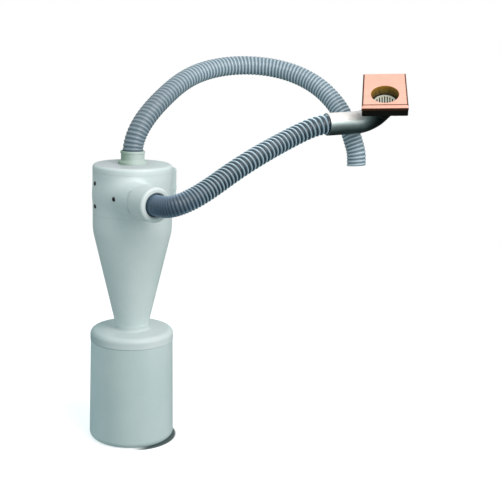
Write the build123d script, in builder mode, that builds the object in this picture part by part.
"""Cyclone dust separator with its hoses and a suction block, in millimetres.

The bin stands on z = 0 and the bin, cone, chamber and cap share the Z axis. The rear
bracket is on the +Y side. The inlet leaves the chamber towards +X and -Y; its hose climbs
towards +X to an elbow under the tilted suction block. The outlet hose leaves the top of
the cap and arches over to a free end near the block.
"""
from build123d import *
from math import acos, cos, radians, sin, sqrt
import os

os.makedirs("parts", exist_ok=True)

# ------------------------------------------------------------------ shared sizes
WALL = 3.0                 # moulded plastic wall
GASKET_T = 1.0             # thin seals below and above the chamber
GASKET_INSET = 0.9         # their edge, inside the chamber's outside

# dust bin
BIN_R_BOTTOM = 93.5        # outer radius at the foot
BIN_R_TOP = 90.0           # outer radius under the lid
BIN_H = 224.0              # height of the shoulder
BIN_FOOT_ROUND = 18.0
BIN_SHOULDER_ROUND = 2.5
NECK_R = 78.0              # screw neck, outer radius
NECK_TOP = 242.0

# bin lid
LID_R = 90.8
LID_BOTTOM = 226.0
LID_TOP = 249.0
LID_UNDERSIDE = LID_TOP - WALL
LID_ROUND = 15.0
LID_INNER_ROUND = 9.5
LID_BOSS_ROUND = 5.0       # where the lid meets its central boss

# cone
CONE_R_LOW = 37.2          # outer radius on the lid
CONE_LOW_Z = 258.0
CONE_START_Z = CONE_LOW_Z + 5    # where the slope starts
CONE_BREAK_Z = 470.0       # where the slope meets the cylindrical rim
CONE_TOP = 506.0
OUTLET_NECK_R = 34.0       # dust neck through the lid, outer radius
OUTLET_NECK_BOTTOM = 235.0
LOCK_RING_R = 46.0
LOCK_RING_H = 8.0

# separating chamber
DRUM_R = 85.0
DRUM_BORE = DRUM_R - WALL
SPIGOT_R = DRUM_BORE - 0.1         # spigots that slip into a rim
SPIGOT_BORE = DRUM_R - 2 * WALL
DRUM_BOTTOM = CONE_TOP + GASKET_T
DRUM_TOP = 598.0
EDGE_ROUND = 0.8           # outer edges against the thin seals

# tangential inlet: distances run along its axis from the tangent point
INLET_Z = 551.0
DUCT_R0 = 42.0             # duct radius at the tangent point
DUCT_R1 = 32.8             # duct radius at its end
INLET_OFFSET = DRUM_R - DUCT_R0    # duct axis from the chamber's axis
DUCT_END = 108.0           # where the duct ends and the collar starts
DUCT_BORE = 31.0           # round bore for the collar's spigot
DUCT_BORE_START = 50.0
INLET_FACE = 161.0         # the collar's face
COLLAR_R = 36.0
COLLAR_MOUTH_R = 26.0
COLLAR_SPIGOT_BORE = 28.5
BORE_R = 24.05             # bore the inlet hose cuff turns in

# cap and outlet collar
CAP_BOTTOM = DRUM_TOP + GASKET_T
CAP_TOP = 613.0
CAP_UNDERSIDE = CAP_TOP - WALL
OUTLET_R = 25.0            # outer radius (50 mm pipe size)
OUTLET_BORE = 23.0
OUTLET_TOP = 641.0
OUTLET_THREAD_R = 27.0     # threaded spigot through the cap
OUTLET_THREAD_BOTTOM = 586.0
OUTLET_FLANGE_R = 31.0
OUTLET_RIM_R = OUTLET_R + 1.2
COLLAR_NUT_R = 38.0        # across corners / 2
COLLAR_NUT_H = 8.0
VORTEX_R = 29.6
VORTEX_Z = (486.0, 601.5)

# hoses
HOSE_R = 21.5
HOSE_BORE = 18.0
CUFF_BORE = HOSE_R + 0.1
CUFF_FIT = 0.05            # radial play of a cuff in its bore

# elbow (50 mm pipe size)
PIPE_R = 25.0
PIPE_BORE = 22.5
ELBOW_BEND_R = 48.0

# suction block
BLOCK_TOP_T = 12.0         # wooden top plate
BLOCK_T = 28.0             # whole block
BLOCK_FRONT = 43.4         # hole centre to front face
BLOCK_REAR = 76.5          # hole centre to rear face
BLOCK_W_FRONT = 101.0
BLOCK_W_REAR = 94.5
HOLE_R = 29.5
BLOCK_SCREWS = [(-38, -33), (38, -33), (-36, 63), (36, 63)]

# black screws of the chamber
SCREW_HEAD_R = 5.0
SCREW_R = 2.5
SCREW_LENGTH = 9.5
SCREW_HOLE_R = SCREW_R + 0.1
SEAT_R = SCREW_HEAD_R + 0.3


# ----------------------------------------------------------------------- helpers
def unit(v):
    length = sqrt(v[0] ** 2 + v[1] ** 2 + v[2] ** 2)
    return (v[0] / length, v[1] / length, v[2] / length)


def direction(start, end):
    return unit(tuple(end[k] - start[k] for k in range(3)))


def along(point, v, distance):
    return tuple(point[k] + v[k] * distance for k in range(3))


def dot(v, w):
    return sum(a * b for a, b in zip(v, w))


def cross(v, w):
    return (v[1] * w[2] - v[2] * w[1], v[2] * w[0] - v[0] * w[2], v[0] * w[1] - v[1] * w[0])


def radial_plane(azimuth, z):
    """Plane through the Z axis at height z, facing outwards at an azimuth in degrees."""
    outwards = (cos(radians(azimuth)), sin(radians(azimuth)), 0)
    return Plane(origin=(0, 0, z), x_dir=(0, 0, 1), z_dir=outwards)


def save(part, name):
    part.label = name
    export_step(part, f"parts/{name}.step")


def turned(outline, rounds=()):
    """Revolve an outline of (radius, z); rounds are (radius, z, fillet radius) of corners."""
    with BuildPart() as body:
        with BuildSketch(Plane.XZ) as profile:
            with BuildLine():
                Polyline(*outline, close=True)
            make_face()
            for x, z, round_r in rounds:
                corner = profile.vertices().sort_by_distance((x, z, 0))[0]
                fillet(corner, round_r)
        revolve(axis=Axis.Z)
    return body.part


def ring(plane, outer_r, inner_r, height):
    with BuildPart() as body:
        with BuildSketch(plane):
            Circle(outer_r)
            Circle(inner_r, mode=Mode.SUBTRACT)
        extrude(amount=height)
    return body.part


def hose_frames(points, first, last):
    """Section planes along a hose's centre line, carried along without twist."""
    frames = []
    side = None
    for i, point in enumerate(points):
        if i == 0:
            heading = first
        elif i == len(points) - 1:
            heading = last
        else:
            heading = direction(points[i - 1], points[i + 1])
        if side is None:
            side = (1, 0, 0) if abs(heading[0]) < 0.8 else (0, 0, 1)
        side = unit(along(side, heading, -dot(side, heading)))
        frames.append(Plane(origin=point, x_dir=side, z_dir=heading))
    return frames


def hose(points, first, last, straight=None):
    """Hose through points with its end headings; straight is (origin, heading, length)."""
    frames = hose_frames(points, first, last)
    with BuildPart() as body:
        for radius, mode in ((HOSE_R, Mode.ADD), (HOSE_BORE, Mode.SUBTRACT)):
            for frame in frames:
                with BuildSketch(frame):
                    Circle(radius)
            loft(mode=mode)
            if straight:
                origin, heading, length = straight
                with BuildSketch(Plane(origin=origin, z_dir=heading)):
                    Circle(radius)
                extrude(amount=length, mode=mode)
    return body.part


# ---------------------------------------------------------- directions and frames
INLET_DIR = unit((0.621, -0.784, 0.0))                 # out of the inlet
INLET_SIDE = (INLET_DIR[1], -INLET_DIR[0], 0.0)        # from the chamber's axis to the duct
INLET_ORIGIN = (INLET_SIDE[0] * INLET_OFFSET, INLET_SIDE[1] * INLET_OFFSET, INLET_Z)
inlet_plane = Plane(origin=INLET_ORIGIN, x_dir=INLET_SIDE, z_dir=INLET_DIR)
collar_plane = inlet_plane.offset(INLET_FACE)
INLET_CENTRE = along(INLET_ORIGIN, INLET_DIR, INLET_FACE)

# block frame: x across, y to the rear, z out of the top face
HOLE_TOP = (539.6, 85.0, 771.4)                        # suction hole's centre, top face
BLOCK_UP = unit((-0.0966, -0.5487, 0.8304))
BLOCK_X = (0.9936, -0.1026, 0.0478)
block_plane = Plane(origin=HOLE_TOP, x_dir=BLOCK_X, z_dir=BLOCK_UP)
PIVOT = along(HOLE_TOP, BLOCK_UP, -33.0)               # on the axis of the angled socket

ELBOW_OUT = unit((0.54, -0.50, 0.67705))               # out of the elbow, into the block
ELBOW_IN = (415.634, 90.0, 701.014)                    # centre of the elbow's inlet
BEND_START = (481.4625, 117.8579, 704.5134)
ELBOW_DIR = direction(ELBOW_IN, BEND_START)
ELBOW_END = along(PIVOT, ELBOW_OUT, -14.2)
socket_plane = Plane(origin=PIVOT, z_dir=ELBOW_OUT)

# ---------------------------------------------------------------------- dust bin
save(turned(
    [
        (0, 0), (BIN_R_BOTTOM, 0), (BIN_R_TOP, BIN_H), (NECK_R, BIN_H),
        (NECK_R, NECK_TOP), (NECK_R - WALL, NECK_TOP), (NECK_R - WALL, BIN_H - WALL),
        (BIN_R_TOP - WALL, BIN_H - WALL), (BIN_R_BOTTOM - WALL, WALL), (0, WALL),
    ],
    rounds=[
        (BIN_R_BOTTOM, 0, BIN_FOOT_ROUND),
        (BIN_R_BOTTOM - WALL, WALL, BIN_FOOT_ROUND - WALL),
        (BIN_R_TOP, BIN_H, BIN_SHOULDER_ROUND),
    ],
), "bin")

# foam ring between the neck and the lid
save(ring(Plane.XY.offset(NECK_TOP), NECK_R, NECK_R - WALL, LID_UNDERSIDE - NECK_TOP),
     "lid_gasket")

# ----------------------------------------------------------------------- bin lid
LID_HOLE_R = OUTLET_NECK_R + 0.1
save(turned(
    [
        (LID_R, LID_BOTTOM), (LID_R, LID_TOP), (CONE_R_LOW, LID_TOP),
        (CONE_R_LOW, CONE_LOW_Z), (LID_HOLE_R, CONE_LOW_Z), (LID_HOLE_R, LID_UNDERSIDE),
        (LID_R - WALL, LID_UNDERSIDE), (LID_R - WALL, LID_BOTTOM),
    ],
    rounds=[
        (LID_R, LID_TOP, LID_ROUND),
        (LID_R - WALL, LID_UNDERSIDE, LID_INNER_ROUND),
        (CONE_R_LOW, LID_TOP, LID_BOSS_ROUND),
    ],
), "bin_lid")

# -------------------------------------------------------------------------- cone
save(turned(
    [
        (OUTLET_NECK_R, OUTLET_NECK_BOTTOM), (OUTLET_NECK_R, CONE_LOW_Z),
        (CONE_R_LOW, CONE_LOW_Z), (CONE_R_LOW, CONE_START_Z),
        (DRUM_R, CONE_BREAK_Z), (DRUM_R, CONE_TOP),
        (DRUM_BORE, CONE_TOP), (DRUM_BORE, CONE_BREAK_Z + 0.4),
        (CONE_R_LOW - WALL, CONE_START_Z), (OUTLET_NECK_R - WALL, CONE_LOW_Z - 4),
        (OUTLET_NECK_R - WALL, OUTLET_NECK_BOTTOM),
    ],
    rounds=[
        (DRUM_R, CONE_BREAK_Z, 110),
        (CONE_R_LOW, CONE_START_Z, 30),
        (DRUM_R, CONE_TOP, EDGE_ROUND),
    ],
), "cone")

# threaded ring that holds the cone's neck under the lid, with grip notches
with BuildPart() as cone_lock_ring:
    with BuildSketch(Plane.XY.offset(LID_UNDERSIDE - LOCK_RING_H)):
        Circle(LOCK_RING_R)
        Circle(OUTLET_NECK_R, mode=Mode.SUBTRACT)
        with PolarLocations(LOCK_RING_R, 8):
            Circle(3.5, mode=Mode.SUBTRACT)
    extrude(amount=LOCK_RING_H)
save(cone_lock_ring.part, "cone_lock_ring")

# thin seals below and above the chamber
for seal_z, seal_name in ((CONE_TOP, "drum_gasket"), (DRUM_TOP, "cap_gasket")):
    save(ring(Plane.XY.offset(seal_z), DRUM_R - GASKET_INSET, DRUM_BORE, GASKET_T), seal_name)

# ------------------------------------------------------------ separating chamber
# Screw planes face outwards, so their offsets are distances from the chamber's axis,
# or from the duct's axis for the duct screw.
plate_planes = [radial_plane(211.0, z) for z in (526.5, 574.5)]
bracket_planes = [radial_plane(azimuth, z) for z in (518.0, 572.0) for azimuth in (75.0, 105.0)]
DUCT_SCREW_T = 57.0        # distance along the inlet axis
duct_screw_plane = Plane(
    origin=along(INLET_ORIGIN, INLET_DIR, DUCT_SCREW_T), x_dir=(0, 0, 1), z_dir=INLET_SIDE)
SEAT_DRUM = DRUM_R - 0.4
SEAT_DUCT = DUCT_R0 - (DUCT_R0 - DUCT_R1) * DUCT_SCREW_T / DUCT_END - 0.9
DRUM_SPIGOT_H = 11.0
WALL_HOLE_START = DRUM_R - 6
WALL_HOLE_DEPTH = 8.0

# screw holes and flat seats: plane, start, radius, depth
drum_cuts = []
for plane in plate_planes:
    drum_cuts += [
        (plane, WALL_HOLE_START, SCREW_HOLE_R, WALL_HOLE_DEPTH),
        (plane, SEAT_DRUM, SEAT_R, 3),
    ]
drum_cuts += [
    (duct_screw_plane, 28, SCREW_HOLE_R, 14),
    (duct_screw_plane, SEAT_DUCT, SEAT_R, 6),
]
drum_cuts += [(plane, WALL_HOLE_START, 2.25, WALL_HOLE_DEPTH) for plane in bracket_planes]

with BuildPart() as drum:
    # outer body: the round chamber and the tapering duct that leaves it tangentially
    with BuildSketch(Plane.XY.offset(DRUM_BOTTOM)):
        Circle(DRUM_R)
    extrude(amount=DRUM_TOP - DRUM_BOTTOM)
    with BuildSketch(inlet_plane):
        Circle(DUCT_R0)
    with BuildSketch(inlet_plane.offset(DUCT_END)):
        Circle(DUCT_R1)
    loft()
    # hollow chamber
    with BuildSketch(Plane.XY.offset(DRUM_BOTTOM)):
        Circle(DRUM_BORE)
    extrude(amount=DRUM_TOP - DRUM_BOTTOM, mode=Mode.SUBTRACT)
    # hollow duct: it narrows to a round bore that takes the collar's spigot
    with BuildSketch(inlet_plane):
        Circle(DUCT_R0 - WALL)
    with BuildSketch(inlet_plane.offset(DUCT_BORE_START)):
        Circle(DUCT_BORE)
    loft(mode=Mode.SUBTRACT)
    with BuildSketch(inlet_plane.offset(DUCT_BORE_START)):
        Circle(DUCT_BORE)
    extrude(amount=DUCT_END - DUCT_BORE_START, mode=Mode.SUBTRACT)
    # spigot into the cone's rim
    with BuildSketch(Plane.XY.offset(DRUM_BOTTOM - DRUM_SPIGOT_H)):
        Circle(SPIGOT_R)
        Circle(SPIGOT_BORE, mode=Mode.SUBTRACT)
    extrude(amount=DRUM_SPIGOT_H)
    # band that joins the spigot to the chamber's wall
    with BuildSketch(Plane.XY.offset(DRUM_BOTTOM)):
        Circle(DRUM_BORE + 0.5)
        Circle(SPIGOT_BORE, mode=Mode.SUBTRACT)
    extrude(amount=2.5)
    for plane, start, radius, depth in drum_cuts:
        with BuildSketch(plane.offset(start)):
            Circle(radius)
        extrude(amount=depth, mode=Mode.SUBTRACT)
save(drum.part, "drum")

# curved plate the incoming dust strikes, cut from a ring by a wedge
WEAR_PLATE_H = 78.0
WEAR_PLATE_BORE = DRUM_BORE - 2.0
WEAR_PLATE_AZ = (200.0, 217.5)     # azimuths of its ends, degrees
WEDGE_REACH = 130.0
with BuildPart() as wear_plate:
    with BuildSketch(Plane.XY.offset(INLET_Z - WEAR_PLATE_H / 2)):
        Circle(SPIGOT_R)
        Circle(WEAR_PLATE_BORE, mode=Mode.SUBTRACT)
        with BuildLine():
            Polyline(
                (0, 0),
                *[(WEDGE_REACH * cos(radians(azimuth)), WEDGE_REACH * sin(radians(azimuth)))
                  for azimuth in WEAR_PLATE_AZ],
                close=True,
            )
        make_face(mode=Mode.INTERSECT)
    extrude(amount=WEAR_PLATE_H)
    for plane in plate_planes:
        with BuildSketch(plane.offset(DRUM_R - 12)):
            Circle(SCREW_HOLE_R)
        extrude(amount=12, mode=Mode.SUBTRACT)
save(wear_plate.part, "wear_plate")

# round-headed black screws with a hexagon socket
HEAD_RIM_H = 1.4           # straight part of the head, under its tapered crown
with BuildPart() as housing_screws:
    for plane, seat in (
        (plate_planes[0], SEAT_DRUM), (plate_planes[1], SEAT_DRUM), (duct_screw_plane, SEAT_DUCT),
    ):
        with BuildSketch(plane.offset(seat - SCREW_LENGTH)):
            Circle(SCREW_R)
        extrude(amount=SCREW_LENGTH)
        with BuildSketch(plane.offset(seat)):
            Circle(SCREW_HEAD_R)
        extrude(amount=HEAD_RIM_H)
        with BuildSketch(plane.offset(seat + HEAD_RIM_H)):
            Circle(SCREW_HEAD_R)
        extrude(amount=1.6, taper=38)
        with BuildSketch(plane.offset(seat + 1.2)):
            RegularPolygon(1.7, 6)
        extrude(amount=3, mode=Mode.SUBTRACT)
save(housing_screws.part, "housing_screws")

# nuts on the inner ends of the three screws: plane, start, corner radius, height
NUTS = [(plane, WEAR_PLATE_BORE - 4.2, 4.6, 4.0) for plane in plate_planes]
NUTS.append((duct_screw_plane, 24.2, 4.2, 3.0))
with BuildPart() as screw_nuts:
    for plane, start, corner_r, height in NUTS:
        with BuildSketch(plane.offset(start)):
            RegularPolygon(corner_r, 6)
            Circle(SCREW_R, mode=Mode.SUBTRACT)
        extrude(amount=height)
save(screw_nuts.part, "screw_nuts")

# ------------------------------------------------------------------ inlet collar
# The second coordinate runs out along the duct's axis; 0 is the collar's face.
COLLAR_BACK = DUCT_END - INLET_FACE
COLLAR_SPIGOT_R = DUCT_BORE - 0.05
COLLAR_SPIGOT_END = 52 - INLET_FACE
collar_body = turned(
    [
        (COLLAR_MOUTH_R, 0), (COLLAR_R, 0), (COLLAR_R, COLLAR_BACK),
        (COLLAR_SPIGOT_R, COLLAR_BACK), (COLLAR_SPIGOT_R, COLLAR_SPIGOT_END),
        (COLLAR_SPIGOT_BORE, COLLAR_SPIGOT_END), (COLLAR_SPIGOT_BORE, -44),
        (BORE_R, -38), (BORE_R, -3), (COLLAR_MOUTH_R, -3),
    ],
    rounds=[(COLLAR_R, 0, 9.2), (COLLAR_R, COLLAR_BACK, 3.5)],
)
with BuildPart() as inlet_collar:
    add(collar_plane.location * collar_body)
    with BuildSketch(duct_screw_plane.offset(20)):
        Circle(SCREW_HOLE_R)
    extrude(amount=14, mode=Mode.SUBTRACT)
save(inlet_collar.part, "inlet_collar")

# ---------------------------------------------------------------- cap and outlet
CAP_HOLE_R = OUTLET_THREAD_R + 0.1
CAP_SPIGOT_BOTTOM = CAP_BOTTOM - 5
save(turned(
    [
        (CAP_HOLE_R, CAP_TOP), (DRUM_R, CAP_TOP), (DRUM_R, CAP_BOTTOM),
        (SPIGOT_R, CAP_BOTTOM), (SPIGOT_R, CAP_SPIGOT_BOTTOM),
        (SPIGOT_BORE, CAP_SPIGOT_BOTTOM), (SPIGOT_BORE, CAP_BOTTOM + 4),
        (74, CAP_UNDERSIDE), (CAP_HOLE_R, CAP_UNDERSIDE),
    ],
    rounds=[(DRUM_R, CAP_TOP, 12.0), (DRUM_R, CAP_BOTTOM, EDGE_ROUND)],
), "top_cap")

# outlet collar with a base flange, a rolled rim and a threaded spigot through the cap
FLANGE_EDGE_Z = CAP_TOP + 5
FLANGE_TOP_Z = CAP_TOP + 8.5
save(turned(
    [
        (OUTLET_BORE, OUTLET_THREAD_BOTTOM), (OUTLET_THREAD_R, OUTLET_THREAD_BOTTOM),
        (OUTLET_THREAD_R, CAP_TOP), (OUTLET_FLANGE_R, CAP_TOP),
        (OUTLET_FLANGE_R, FLANGE_EDGE_Z), (OUTLET_R, FLANGE_TOP_Z),
        (OUTLET_R, OUTLET_TOP - 6), (OUTLET_RIM_R, OUTLET_TOP - 5),
        (OUTLET_RIM_R, OUTLET_TOP), (OUTLET_BORE, OUTLET_TOP),
    ],
    rounds=[
        (OUTLET_RIM_R, OUTLET_TOP, 2.0),
        (OUTLET_FLANGE_R, FLANGE_EDGE_Z, 2.5),
        (OUTLET_R, FLANGE_TOP_Z, 4.0),
    ],
), "outlet_collar")

# eight-sided nut on the spigot, under the cap
with BuildPart() as collar_nut:
    with BuildSketch(Plane.XY.offset(CAP_UNDERSIDE - COLLAR_NUT_H)):
        RegularPolygon(COLLAR_NUT_R, 8)
        Circle(OUTLET_THREAD_R, mode=Mode.SUBTRACT)
    extrude(amount=COLLAR_NUT_H)
save(collar_nut.part, "collar_nut")

# tube that carries the cleaned air up out of the middle of the chamber
save(ring(Plane.XY.offset(VORTEX_Z[0]), VORTEX_R, OUTLET_THREAD_R + 0.05,
          VORTEX_Z[1] - VORTEX_Z[0]), "vortex_finder")

# ------------------------------------------------------------------ rear bracket
BRACKET_Y = 90.0           # face towards the chamber
BRACKET_T = 4.0
BRACKET_W = 173.0
BRACKET_H = 90.0
BRACKET_HOLE_PITCH = (144.0, 56.0)
BRACKET_HOLE_R = 3.25
SADDLE_W = 84.0
SADDLE_Z = (509.0, 581.0)
SADDLE_BORE = DRUM_R + 0.1
RIB_H = 7.0
BRACKET_SCREW_R = 2.2
with BuildPart() as rear_bracket:
    # Plane.XZ faces -Y, so its offset is negative for a plane behind the chamber
    with BuildSketch(Plane.XZ.offset(-BRACKET_Y)):
        with Locations((0, INLET_Z)):
            RectangleRounded(BRACKET_W, BRACKET_H, 7)
        with Locations((0, INLET_Z)):
            with GridLocations(*BRACKET_HOLE_PITCH, 2, 2):
                Circle(BRACKET_HOLE_R, mode=Mode.SUBTRACT)
    extrude(amount=-BRACKET_T)
    # saddle that hugs the chamber
    with BuildSketch(Plane.XY.offset(SADDLE_Z[0])):
        with Locations((0, 78)):
            Rectangle(SADDLE_W, 24.5)
        Circle(SADDLE_BORE, mode=Mode.SUBTRACT)
    extrude(amount=SADDLE_Z[1] - SADDLE_Z[0])
    # ribs from the saddle out to the plate's ends
    with BuildSketch(Plane.XY.offset(INLET_Z - RIB_H / 2)):
        with BuildLine():
            Polyline((-78, 90.2), (78, 90.2), (SADDLE_W / 2, 76), (-SADDLE_W / 2, 76), close=True)
        make_face()
        Circle(SADDLE_BORE, mode=Mode.SUBTRACT)
    extrude(amount=RIB_H)
    for plane in bracket_planes:
        with BuildSketch(plane.offset(DRUM_R - 2)):
            Circle(BRACKET_SCREW_R)
        extrude(amount=8.2, mode=Mode.SUBTRACT)
save(rear_bracket.part, "rear_bracket")

# screws from inside the chamber into the saddle
with BuildPart() as bracket_screws:
    for plane in bracket_planes:
        with BuildSketch(plane.offset(DRUM_BORE - 2.6)):
            Circle(4.2)
        extrude(amount=2.4)
        with BuildSketch(plane.offset(DRUM_BORE - 0.4)):
            Circle(BRACKET_SCREW_R)
        extrude(amount=9.2)
save(bracket_screws.part, "bracket_screws")

# ------------------------------------------------------------------- outlet hose
# cuff in the outlet collar, with a lip under the collar's lower end
OUTLET_CUFF_R = OUTLET_BORE - CUFF_FIT
OUTLET_CUFF_Z = (582, 638)
OUTLET_LIP_R = 24.3
OUTLET_LIP_TOP = 585.8
save(turned([
    (CUFF_BORE, OUTLET_CUFF_Z[0]), (OUTLET_LIP_R, OUTLET_CUFF_Z[0]),
    (OUTLET_LIP_R, OUTLET_LIP_TOP), (OUTLET_CUFF_R, OUTLET_LIP_TOP),
    (OUTLET_CUFF_R, OUTLET_CUFF_Z[1]), (CUFF_BORE, OUTLET_CUFF_Z[1]),
]), "outlet_hose_cuff")

# centre-line stations (x, y, z) of the two lengths, from the collar to the free end
OUTLET_A = [
    (0.0, 0.0, OUTLET_TOP), (4.7, 3.6, 666.5), (13.4, 13.6, 689.1), (23.8, 28.9, 707.7),
    (34.6, 47.2, 723.1), (45.4, 67.0, 736.5), (56.2, 87.9, 748.4), (66.9, 109.2, 759.3),
    (77.8, 130.9, 769.4), (89.2, 152.7, 778.7), (101.6, 174.3, 786.9), (115.4, 195.5, 794.3),
    (130.7, 215.9, 800.6), (147.7, 235.2, 806.0), (166.8, 252.7, 810.4), (187.9, 267.9, 813.8),
    (211.3, 279.6, 816.0), (236.5, 286.9, 816.9),
]
OUTLET_B = [
    (243.9, 288.1, 816.9), (270.2, 289.3, 815.8), (296.3, 286.4, 813.0), (321.5, 280.2, 808.3),
    (345.5, 271.4, 801.8), (368.0, 260.7, 793.4), (389.0, 248.4, 783.1), (408.2, 235.3, 770.7),
    (425.6, 221.7, 756.2), (441.1, 208.3, 739.7), (454.8, 195.4, 721.1), (466.6, 183.9, 700.6),
    (476.8, 174.2, 678.3), (485.2, 166.8, 654.4), (491.2, 162.6, 633.0),
]
FREE_END_DIR = direction(OUTLET_B[-1], (493.6, 161.0, 603.0))
FREE_END_LENGTH = 30.0
OUTLET_HOSE_BOTTOM = 600.0         # lower end of the hose inside the cuff

save(hose(OUTLET_A, (0, 0, 1), unit((0.984, 0.178, 0.003)),
          straight=((0, 0, OUTLET_HOSE_BOTTOM), (0, 0, 1), OUTLET_TOP - OUTLET_HOSE_BOTTOM)),
     "outlet_hose_a")
# straight free end, where a vacuum nozzle goes in
save(hose(OUTLET_B, unit((0.990, 0.143, -0.008)), FREE_END_DIR,
          straight=(OUTLET_B[-1], FREE_END_DIR, FREE_END_LENGTH)),
     "outlet_hose_b")

# -------------------------------------------------------------------- inlet hose
# cuff in the inlet collar; the second coordinate is measured from the collar's face
INLET_CUFF_R = BORE_R - CUFF_FIT
INLET_CUFF_ENDS = (-46.5, -4.0)
INLET_LIP_R = 26.0
inlet_cuff = turned([
    (CUFF_BORE, INLET_CUFF_ENDS[0]), (INLET_LIP_R, INLET_CUFF_ENDS[0]),
    (INLET_LIP_R, -42.5), (INLET_CUFF_R, -39.0),
    (INLET_CUFF_R, INLET_CUFF_ENDS[1]), (CUFF_BORE, INLET_CUFF_ENDS[1]),
])
save(collar_plane.location * inlet_cuff, "inlet_hose_cuff")

# the hose starts inside the collar and runs straight to just outside its face
HOSE_INSERT = 30.0
HOSE_STRAIGHT_OUT = 2.0
INLET_START = along(INLET_CENTRE, INLET_DIR, -HOSE_INSERT)
INLET_BEND = along(INLET_CENTRE, INLET_DIR, HOSE_STRAIGHT_OUT)

# centre-line stations (x, y, z) of the three lengths, from the collar to the elbow
INLET_A = [
    INLET_BEND, (86.0, -170.3, 551.6), (109.4, -179.0, 557.4), (133.2, -173.8, 566.9),
    (153.7, -161.3, 577.5), (171.9, -146.0, 588.1), (188.8, -129.2, 598.7),
]
INLET_B = [
    (193.5, -124.3, 601.7), (210.6, -105.9, 612.3), (227.5, -87.1, 622.3),
    (244.4, -67.9, 631.6), (261.2, -48.3, 640.3), (277.8, -28.3, 648.4), (294.5, -8.3, 656.2),
]
INLET_C = [
    (299.1, -2.7, 658.3), (315.6, 16.1, 665.6), (332.8, 34.3, 673.1), (351.2, 51.1, 681.1),
    (371.0, 66.0, 689.3), (392.5, 78.8, 696.7), ELBOW_IN,
]
save(hose(INLET_A, INLET_DIR, unit((0.635, 0.661, 0.400)),
          straight=(INLET_START, INLET_DIR, HOSE_INSERT + HOSE_STRAIGHT_OUT)),
     "inlet_hose_a")
save(hose(INLET_B, unit((0.631, 0.666, 0.398)), unit((0.618, 0.734, 0.281))), "inlet_hose_b")
# its last 26 mm sit inside the elbow
save(hose(INLET_C, unit((0.621, 0.732, 0.280)), ELBOW_DIR,
          straight=(ELBOW_IN, ELBOW_DIR, 26.0)),
     "inlet_hose_c")

# ------------------------------------------------------------------------- elbow
bend_turn = acos(dot(ELBOW_DIR, ELBOW_OUT))
bend_axis = unit(cross(ELBOW_DIR, ELBOW_OUT))
to_centre = cross(bend_axis, ELBOW_DIR)
BEND_CENTRE = along(BEND_START, to_centre, ELBOW_BEND_R)


def bend_point(angle):
    """Point on the elbow's centre line after turning by an angle in radians."""
    forward = along(BEND_CENTRE, ELBOW_DIR, ELBOW_BEND_R * sin(angle))
    return along(forward, to_centre, -ELBOW_BEND_R * cos(angle))


BEND_END = bend_point(bend_turn)
with BuildPart() as elbow:
    with BuildLine() as path:
        Line(ELBOW_IN, BEND_START)
        ThreePointArc(BEND_START, bend_point(bend_turn / 2), BEND_END)
        Line(BEND_END, ELBOW_END)
    with BuildSketch(Plane(origin=ELBOW_IN, z_dir=ELBOW_DIR)):
        Circle(PIPE_R)
        Circle(PIPE_BORE, mode=Mode.SUBTRACT)
    sweep(path=path.wires()[0])
save(elbow.part, "elbow")

# rubber ring between the hose end and the elbow
save(ring(Plane(origin=along(ELBOW_IN, ELBOW_DIR, 2), z_dir=ELBOW_DIR),
          PIPE_BORE, HOSE_R + 0.06, 20), "elbow_seal")

# ----------------------------------------------------------------- suction block
def block_outline(inset=0.0):
    """Corners of the block in its own frame, slightly narrower at the rear."""
    front_x = BLOCK_W_FRONT / 2 - inset
    rear_x = BLOCK_W_REAR / 2 - inset
    front_y = -BLOCK_FRONT + inset
    rear_y = BLOCK_REAR - inset
    return [(-front_x, front_y), (front_x, front_y), (rear_x, rear_y), (-rear_x, rear_y)]


def top_edges_to_front(block):
    """Edges of the block's top face, from the rearmost to the foremost."""
    top = block.faces().sort_by(Axis((0, 0, 0), BLOCK_UP))[-1]
    return top.edges().sort_by(Axis((0, 0, 0), tuple(-block_plane.y_dir)))


# wooden top plate
with BuildPart() as suction_block:
    with BuildSketch(block_plane.offset(-BLOCK_TOP_T)):
        with BuildLine():
            Polyline(*block_outline(), close=True)
        make_face()
    extrude(amount=BLOCK_TOP_T)
    # wide chamfer on the front edge, then a small one on the other three
    chamfer(top_edges_to_front(suction_block)[-1], 6.0)
    chamfer(top_edges_to_front(suction_block)[:3], 2.2)
    # suction hole with a chamfered rim
    with BuildSketch(block_plane):
        Circle(HOLE_R)
    extrude(amount=-BLOCK_TOP_T, mode=Mode.SUBTRACT)
    with BuildSketch(block_plane):
        Circle(HOLE_R + 1.0)
    extrude(amount=-1.0, taper=45, mode=Mode.SUBTRACT)
    for x, y in BLOCK_SCREWS:
        with BuildSketch(block_plane.offset(-BLOCK_TOP_T)):
            with Locations((x, y)):
                Circle(2.0)
        extrude(amount=8, mode=Mode.SUBTRACT)
save(suction_block.part, "suction_block")

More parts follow.
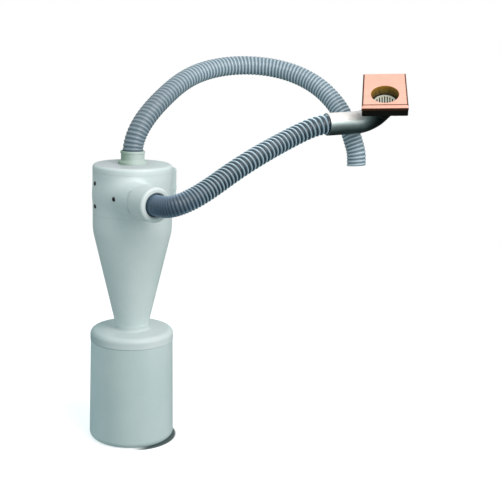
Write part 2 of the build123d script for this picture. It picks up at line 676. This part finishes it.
# base with an angled socket that the elbow turns on
SOCKET_START = -14.0       # along the socket's axis from the pivot
SOCKET_SPIGOT_R = PIPE_BORE - 0.05
CHAMBER_DEPTH = 9.0        # below the top plate
GRILLE_T = 2.0
GRILLE_BOTTOM = BLOCK_TOP_T + CHAMBER_DEPTH + GRILLE_T     # below the top face
with BuildPart() as block_base:
    with BuildSketch(block_plane.offset(-BLOCK_T)):
        with BuildLine():
            Polyline(*block_outline(inset=0.4), close=True)
        make_face()
    extrude(amount=BLOCK_T - BLOCK_TOP_T)
    chamfer(block_base.faces().sort_by(Axis((0, 0, 0), BLOCK_UP))[0].edges(), 1.5)
    # angled socket stub, flush with the elbow's outside
    with BuildSketch(socket_plane.offset(SOCKET_START)):
        Circle(PIPE_R)
    extrude(amount=17)
    # chamber under the hole, seat of the grille and opening below it
    for top, radius, depth in (
        (BLOCK_TOP_T, HOLE_R, CHAMBER_DEPTH),
        (BLOCK_TOP_T + CHAMBER_DEPTH, 24.6, GRILLE_T),
        (GRILLE_BOTTOM, 21.5, 3),
    ):
        with BuildSketch(block_plane.offset(-top)):
            Circle(radius)
        extrude(amount=-depth, mode=Mode.SUBTRACT)
    # spigot inside the elbow, and its root in the stub
    for start, length in ((SOCKET_START - 1, 8), (SOCKET_START, 1.5)):
        with BuildSketch(socket_plane.offset(start)):
            Circle(SOCKET_SPIGOT_R)
        extrude(amount=-length)
    # angled passage
    with BuildSketch(socket_plane.offset(-25)):
        Circle(19.0)
    extrude(amount=29.5, mode=Mode.SUBTRACT)
    # countersunk screw holes
    for x, y in BLOCK_SCREWS:
        with BuildSketch(block_plane.offset(-BLOCK_T)):
            with Locations((x, y)):
                Circle(2.1)
        extrude(amount=BLOCK_T - BLOCK_TOP_T, mode=Mode.SUBTRACT)
        with BuildSketch(block_plane.offset(-BLOCK_T)):
            with Locations((x, y)):
                Circle(4.2)
        extrude(amount=4.2, taper=45, mode=Mode.SUBTRACT)
save(block_base.part, "block_base")

# slotted disc in the seat under the suction hole
SLOT_PITCH = 5.6
SLOT_FIELD_R = 21.0
with BuildPart() as hole_grille:
    with BuildSketch(block_plane.offset(-GRILLE_BOTTOM)):
        Circle(24.5)
        for i in range(-3, 4):
            half_length = sqrt(SLOT_FIELD_R ** 2 - (SLOT_PITCH * i) ** 2) - 1.5
            with Locations((SLOT_PITCH * i, 0)):
                SlotOverall(2 * half_length, 2.4, rotation=90, mode=Mode.SUBTRACT)
    extrude(amount=GRILLE_T)
save(hole_grille.part, "hole_grille")

# countersunk screws from below
with BuildPart() as block_screws:
    for x, y in BLOCK_SCREWS:
        with BuildSketch(block_plane.offset(-BLOCK_T)):
            with Locations((x, y)):
                Circle(2.0)
        extrude(amount=22)
        with BuildSketch(block_plane.offset(-BLOCK_T)):
            with Locations((x, y)):
                Circle(4.0)
        extrude(amount=2.0, taper=45)
save(block_screws.part, "block_screws")
